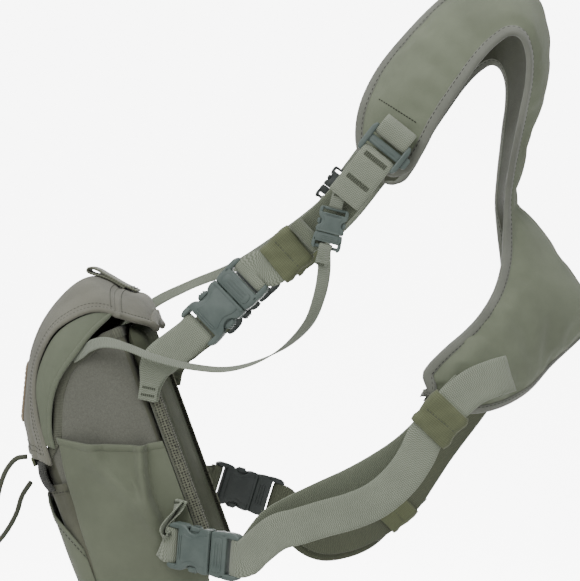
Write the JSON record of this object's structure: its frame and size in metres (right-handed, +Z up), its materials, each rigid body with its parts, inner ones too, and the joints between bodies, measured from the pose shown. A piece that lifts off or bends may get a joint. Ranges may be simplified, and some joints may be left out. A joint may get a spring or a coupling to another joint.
{
  "type": "binocular harness pack",
  "caption": "Chest pack with a forward-opening lid and stretch pockets, carried on padded shoulder straps, a back yoke and side-release buckles.",
  "frame": {"origin": "midway between the shoulders, where the undersides of the two shoulder pads rest on them", "axes": "+X from the front of the pack towards the wearer's back, +Y towards the wearer's right, +Z up"},
  "size_m": [0.4809, 0.2915, 0.4759],
  "materials": {
    "foam": "padded dark grey woven fabric",
    "padding": "padded stretch fabric with light grey binding",
    "woven": "warm grey woven fabric",
    "smooth": "smooth olive grey stretch fabric",
    "webbing": "light sage woven webbing",
    "elastic": "olive elastic",
    "plastic": "slate green moulded plastic",
    "cord": "braided elastic cord",
    "magnet": "plated magnet strip"
  },
  "bodies": {
    "harness": {"pack_body": "foam", "back_pad": "padding", "front_inner_pocket": "woven", "front_outer_pocket": "smooth", "left_side_pocket": "smooth", "right_side_pocket": "smooth", "back_magnet_bar": "magnet", "left_shoulder_pad": "padding", "right_shoulder_pad": "padding", "back_yoke": "padding", "bungee_cord": "cord", "bungee_anchor": "elastic", "left_upper_buckle_female": "plastic", "right_upper_buckle_female": "plastic", "left_tether_buckle_female": "plastic", "right_tether_buckle_female": "plastic", "left_lower_buckle_female": "plastic", "right_lower_buckle_female": "plastic", "left_upper_anchor": "webbing", "left_lower_anchor": "webbing", "left_front_webbing": "webbing", "left_pad_webbing": "webbing", "left_tether_strap": "webbing", "left_side_webbing": "webbing", "right_upper_anchor": "webbing", "right_lower_anchor": "webbing", "right_front_webbing": "webbing", "right_pad_webbing": "webbing", "right_tether_strap": "webbing", "right_side_webbing": "webbing"},
    "lid": {"lid_shell": "woven", "lid_tongue": "woven", "lid_gusset_left": "smooth", "lid_gusset_right": "smooth", "lid_pull_loop": "webbing", "lid_magnet_bar": "magnet"},
    "left_upper_male": {"left_upper_buckle_male": "plastic"},
    "left_upper_prong_a": {"left_upper_buckle_prong_a": "plastic"},
    "left_upper_prong_b": {"left_upper_buckle_prong_b": "plastic"},
    "right_upper_male": {"right_upper_buckle_male": "plastic"},
    "right_upper_prong_a": {"right_upper_buckle_prong_a": "plastic"},
    "right_upper_prong_b": {"right_upper_buckle_prong_b": "plastic"},
    "left_tether_male": {"left_tether_buckle_male": "plastic"},
    "left_tether_prong_a": {"left_tether_buckle_prong_a": "plastic"},
    "left_tether_prong_b": {"left_tether_buckle_prong_b": "plastic"},
    "right_tether_male": {"right_tether_buckle_male": "plastic"},
    "right_tether_prong_a": {"right_tether_buckle_prong_a": "plastic"},
    "right_tether_prong_b": {"right_tether_buckle_prong_b": "plastic"},
    "left_lower_male": {"left_lower_buckle_male": "plastic"},
    "left_lower_prong_a": {"left_lower_buckle_prong_a": "plastic"},
    "left_lower_prong_b": {"left_lower_buckle_prong_b": "plastic"},
    "right_lower_male": {"right_lower_buckle_male": "plastic"},
    "right_lower_prong_a": {"right_lower_buckle_prong_a": "plastic"},
    "right_lower_prong_b": {"right_lower_buckle_prong_b": "plastic"},
    "left_ladder_lock": {"left_ladder_lock": "plastic"},
    "left_front_keeper": {"left_front_keeper": "elastic"},
    "left_side_keeper": {"left_side_keeper": "elastic"},
    "right_ladder_lock": {"right_ladder_lock": "plastic"},
    "right_front_keeper": {"right_front_keeper": "elastic"},
    "right_side_keeper": {"right_side_keeper": "elastic"}
  },
  "joints": [
    {"name": "lid_hinge", "type": "hinge", "parent": "harness", "child": "lid", "pos_m": [-0.35502, 0, -0.32773], "axis": [0, -1, 0], "range_deg": [0, 100], "deforming": ["left_tether_strap", "right_tether_strap"]},
    {"name": "left_upper_release", "type": "slide", "parent": "harness", "child": "left_upper_male", "axis": [0.7003, -0.07, 0.7104], "range_m": [0, 0.03], "deforming": ["left_front_webbing", "left_upper_buckle_prong_a", "left_upper_buckle_prong_b"]},
    {"name": "left_upper_squeeze_a", "type": "hinge", "parent": "left_upper_male", "child": "left_upper_prong_a", "pos_m": [-0.20621, -0.0882, -0.19879], "axis": [-0.1703, -0.9828, 0.071], "range_deg": [0, 9], "stiffness_Nm_per_rad": 0.05},
    {"name": "left_upper_squeeze_b", "type": "hinge", "parent": "left_upper_male", "child": "left_upper_prong_b", "pos_m": [-0.19137, -0.09185, -0.21378], "axis": [-0.1703, -0.9828, 0.071], "range_deg": [-9, 0], "stiffness_Nm_per_rad": 0.05},
    {"name": "right_upper_release", "type": "slide", "parent": "harness", "child": "right_upper_male", "axis": [0.7003, 0.07, 0.7104], "range_m": [0, 0.03], "deforming": ["right_front_webbing", "right_upper_buckle_prong_a", "right_upper_buckle_prong_b"]},
    {"name": "right_upper_squeeze_a", "type": "hinge", "parent": "right_upper_male", "child": "right_upper_prong_a", "pos_m": [-0.19137, 0.09185, -0.21378], "axis": [-0.1703, 0.9828, 0.071], "range_deg": [0, 9], "stiffness_Nm_per_rad": 0.05},
    {"name": "right_upper_squeeze_b", "type": "hinge", "parent": "right_upper_male", "child": "right_upper_prong_b", "pos_m": [-0.20621, 0.0882, -0.19879], "axis": [-0.1703, 0.9828, 0.071], "range_deg": [-9, 0], "stiffness_Nm_per_rad": 0.05},
    {"name": "left_tether_release", "type": "slide", "parent": "harness", "child": "left_tether_male", "axis": [-0.2496, 0, -0.9684], "range_m": [0, 0.016], "deforming": ["left_tether_strap", "left_tether_buckle_prong_a", "left_tether_buckle_prong_b"]},
    {"name": "left_tether_squeeze_a", "type": "hinge", "parent": "left_tether_male", "child": "left_tether_prong_a", "pos_m": [-0.12101, -0.1095, -0.1631], "axis": [0, -1, 0], "range_deg": [0, 9], "stiffness_Nm_per_rad": 0.008},
    {"name": "left_tether_squeeze_b", "type": "hinge", "parent": "left_tether_male", "child": "left_tether_prong_b", "pos_m": [-0.13386, -0.1095, -0.15979], "axis": [0, -1, 0], "range_deg": [-9, 0], "stiffness_Nm_per_rad": 0.008},
    {"name": "right_tether_release", "type": "slide", "parent": "harness", "child": "right_tether_male", "axis": [-0.5822, 0, -0.8131], "range_m": [0, 0.016], "deforming": ["right_tether_strap", "right_tether_buckle_prong_a", "right_tether_buckle_prong_b"]},
    {"name": "right_tether_squeeze_a", "type": "hinge", "parent": "right_tether_male", "child": "right_tether_prong_a", "pos_m": [-0.13508, 0.124, -0.12126], "axis": [0, 1, 0], "range_deg": [0, 9], "stiffness_Nm_per_rad": 0.008},
    {"name": "right_tether_squeeze_b", "type": "hinge", "parent": "right_tether_male", "child": "right_tether_prong_b", "pos_m": [-0.12429, 0.124, -0.12898], "axis": [0, 1, 0], "range_deg": [-9, 0], "stiffness_Nm_per_rad": 0.008},
    {"name": "left_lower_release", "type": "slide", "parent": "harness", "child": "left_lower_male", "axis": [0.8653, -0.493, -0.0906], "range_m": [0, 0.03], "deforming": ["left_side_webbing", "left_lower_buckle_prong_a", "left_lower_buckle_prong_b"]},
    {"name": "left_lower_squeeze_a", "type": "hinge", "parent": "left_lower_male", "child": "left_lower_prong_a", "pos_m": [-0.2099, -0.11122, -0.37937], "axis": [-0.495, -0.8689, 0.0005], "range_deg": [0, 9], "stiffness_Nm_per_rad": 0.05},
    {"name": "left_lower_squeeze_b", "type": "hinge", "parent": "left_lower_male", "child": "left_lower_prong_b", "pos_m": [-0.21158, -0.11027, -0.40068], "axis": [-0.495, -0.8689, 0.0005], "range_deg": [-9, 0], "stiffness_Nm_per_rad": 0.05},
    {"name": "right_lower_release", "type": "slide", "parent": "harness", "child": "right_lower_male", "axis": [0.8866, 0.3422, -0.3112], "range_m": [0, 0.03], "deforming": ["right_side_webbing", "right_lower_buckle_prong_a", "right_lower_buckle_prong_b"]},
    {"name": "right_lower_squeeze_a", "type": "hinge", "parent": "right_lower_male", "child": "right_lower_prong_a", "pos_m": [-0.19886, 0.10126, -0.38426], "axis": [-0.3585, 0.9335, 0.0053], "range_deg": [0, 9], "stiffness_Nm_per_rad": 0.05},
    {"name": "right_lower_squeeze_b", "type": "hinge", "parent": "right_lower_male", "child": "right_lower_prong_b", "pos_m": [-0.19261, 0.10355, -0.36392], "axis": [-0.3585, 0.9335, 0.0053], "range_deg": [-9, 0], "stiffness_Nm_per_rad": 0.05},
    {"name": "left_ladder_lock_tilt", "type": "hinge", "parent": "harness", "child": "left_ladder_lock", "pos_m": [-0.08215, -0.114, -0.09364], "axis": [-0.7828, 0, 0.6222], "range_deg": [0, 30], "deforming": ["left_front_webbing", "left_pad_webbing"]},
    {"name": "left_front_keeper_slide", "type": "slide", "parent": "left_upper_male", "child": "left_front_keeper", "axis": [0.7264, -0.0299, 0.6866], "range_m": [-0.006, 0.006], "deforming": ["left_front_webbing"]},
    {"name": "left_side_keeper_slide", "type": "slide", "parent": "harness", "child": "left_side_keeper", "axis": [0.6372, -0.0796, 0.7666], "range_m": [-0.006, 0.006], "deforming": ["left_side_webbing"]},
    {"name": "right_ladder_lock_tilt", "type": "hinge", "parent": "harness", "child": "right_ladder_lock", "pos_m": [-0.08215, 0.114, -0.09364], "axis": [0.7828, 0, -0.6222], "range_deg": [0, 30], "deforming": ["right_front_webbing", "right_pad_webbing"]},
    {"name": "right_front_keeper_slide", "type": "slide", "parent": "right_upper_male", "child": "right_front_keeper", "axis": [0.7264, 0.0299, 0.6866], "range_m": [-0.006, 0.006], "deforming": ["right_front_webbing"]},
    {"name": "right_side_keeper_slide", "type": "slide", "parent": "harness", "child": "right_side_keeper", "axis": [0.76, 0, 0.65], "range_m": [-0.006, 0.006], "deforming": ["right_side_webbing"]}
  ],
  "couplings": [
    {"joint": "left_upper_squeeze_b", "follows": "left_upper_squeeze_a", "ratio": -1},
    {"joint": "right_upper_squeeze_b", "follows": "right_upper_squeeze_a", "ratio": -1},
    {"joint": "left_lower_squeeze_b", "follows": "left_lower_squeeze_a", "ratio": -1},
    {"joint": "right_lower_squeeze_b", "follows": "right_lower_squeeze_a", "ratio": -1}
  ]
}
